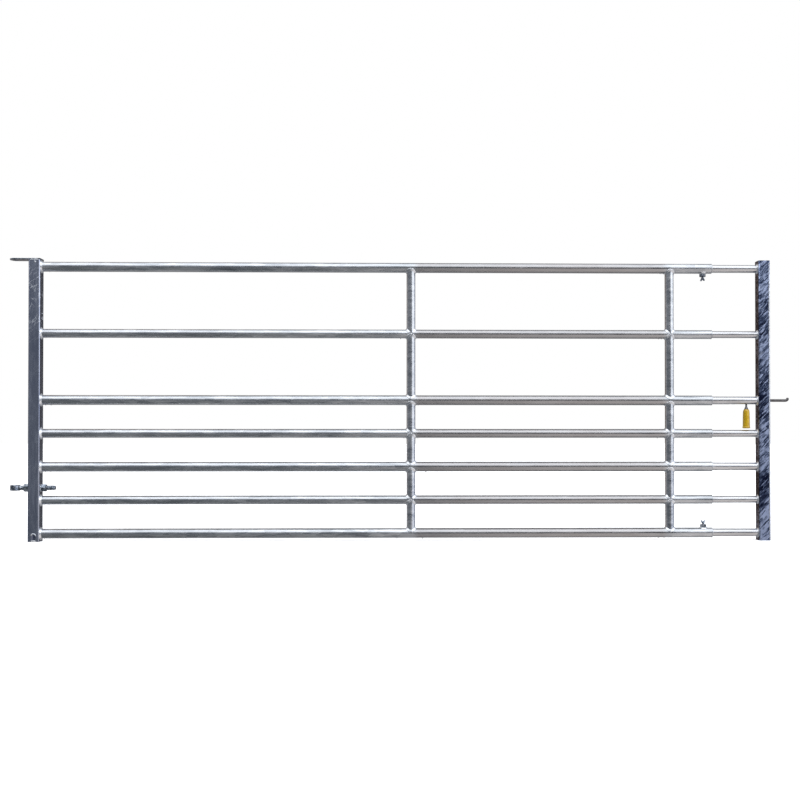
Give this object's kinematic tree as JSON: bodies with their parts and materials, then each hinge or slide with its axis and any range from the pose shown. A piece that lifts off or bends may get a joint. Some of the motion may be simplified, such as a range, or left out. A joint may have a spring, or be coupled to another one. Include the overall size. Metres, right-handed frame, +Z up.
{
  "type": "adjustable field gate leaf with spring latch bolt",
  "caption": "Extending tubular steel field gate leaf: hinge eyes at the heel, sliding latch end with clamp screws, and a spring bolt pulled back by a hanging grip.",
  "frame": {"origin": "middle of the lower hinge eye, on the hinge axis", "axes": "+X from the hinges to the latch, +Y through the leaf away from the viewed face, +Z up the hinge axis"},
  "size_m": [3.386, 0.05, 1.22],
  "materials": {
    "galvanised_frame": "hot-dip galvanised tube, weathered grey with zinc spangle",
    "galvanised_heel_stile": "hot-dip galvanised box section, dull blue-grey",
    "galvanised_slam_stile": "hot-dip galvanised box section, strongly mottled blue-grey spangle",
    "galvanised_inner_rail": "hot-dip galvanised tube, smoother and lighter",
    "galvanised_fittings": "spun-galvanised bolts, nuts and welded fittings",
    "plain_steel": "dull dark zinc-plated bar",
    "spring_steel": "plated round wire",
    "yellow_grip": "moulded yellow plastic, slightly worn"
  },
  "bodies": {
    "leaf_frame": {"heel_stile": "galvanised_heel_stile", "top_hinge_plate": "galvanised_fittings", "lower_eye_bolt": "galvanised_fittings", "eye_bolt_outer_nut": "galvanised_fittings", "eye_bolt_inner_nut": "galvanised_fittings", "eye_bolt_bush": "galvanised_fittings", "outer_rail_1": "galvanised_frame", "outer_rail_2": "galvanised_frame", "outer_rail_3": "galvanised_frame", "outer_rail_4": "galvanised_frame", "outer_rail_5": "galvanised_frame", "outer_rail_6": "galvanised_frame", "outer_rail_7": "galvanised_frame", "centre_stay_1": "galvanised_frame", "centre_stay_2": "galvanised_frame", "centre_stay_3": "galvanised_frame", "centre_stay_4": "galvanised_frame", "centre_stay_5": "galvanised_frame", "centre_stay_6": "galvanised_frame", "latch_stay_1": "galvanised_frame", "latch_stay_2": "galvanised_frame", "latch_stay_3": "galvanised_frame", "latch_stay_4": "galvanised_frame", "latch_stay_5": "galvanised_frame", "latch_stay_6": "galvanised_frame", "upper_clamp_boss": "galvanised_fittings", "lower_clamp_boss": "galvanised_fittings"},
    "slam_frame": {"slam_stile": "galvanised_slam_stile", "slam_stile_cap": "galvanised_slam_stile", "bolt_guide": "plain_steel", "latch_spring": "spring_steel", "inner_rail_1": "galvanised_inner_rail", "inner_rail_2": "galvanised_inner_rail", "inner_rail_3": "galvanised_inner_rail", "inner_rail_4": "galvanised_inner_rail", "inner_rail_5": "galvanised_inner_rail", "inner_rail_6": "galvanised_inner_rail", "inner_rail_7": "galvanised_inner_rail"},
    "latch_bolt": {"latch_bolt": "plain_steel", "bolt_collar": "plain_steel", "collar_pin": "plain_steel", "handle_stem": "plain_steel", "handle_grip": "yellow_grip"},
    "upper_clamp_shank": {"upper_clamp_shank": "galvanised_fittings"},
    "upper_clamp_wings": {"upper_clamp_wings": "galvanised_fittings"},
    "lower_clamp_shank": {"lower_clamp_shank": "galvanised_fittings"},
    "lower_clamp_wings": {"lower_clamp_wings": "galvanised_fittings"}
  },
  "joints": [
    {"name": "extension", "type": "slide", "parent": "leaf_frame", "child": "slam_frame", "axis": [1, 0, 0], "range_m": [-0.085, 0.4]},
    {"name": "bolt_pull", "type": "slide", "parent": "slam_frame", "child": "latch_bolt", "axis": [1, 0, 0], "range_m": [-0.045, 0], "stiffness_N_per_m": 500, "springref_m": 0.06, "deforming": ["latch_spring"]},
    {"name": "upper_screw_turn", "type": "hinge", "parent": "upper_clamp_shank", "child": "upper_clamp_wings", "pos_m": [2.982, 0, 0.915], "axis": [0, 0, -1], "range_deg": [0, 720.1]},
    {"name": "upper_screw_travel", "type": "slide", "parent": "leaf_frame", "child": "upper_clamp_shank", "axis": [0, 0, -1], "range_m": [0, 0.003]},
    {"name": "lower_screw_turn", "type": "hinge", "parent": "lower_clamp_shank", "child": "lower_clamp_wings", "pos_m": [2.982, 0, -0.157], "axis": [0, 0, 1], "range_deg": [0, 720.1]},
    {"name": "lower_screw_travel", "type": "slide", "parent": "leaf_frame", "child": "lower_clamp_shank", "axis": [0, 0, 1], "range_m": [0, 0.003]}
  ],
  "couplings": [
    {"joint": "upper_screw_turn", "follows": "upper_screw_travel", "rad_per_m": 4188.8},
    {"joint": "lower_screw_turn", "follows": "lower_screw_travel", "rad_per_m": 4188.8}
  ]
}
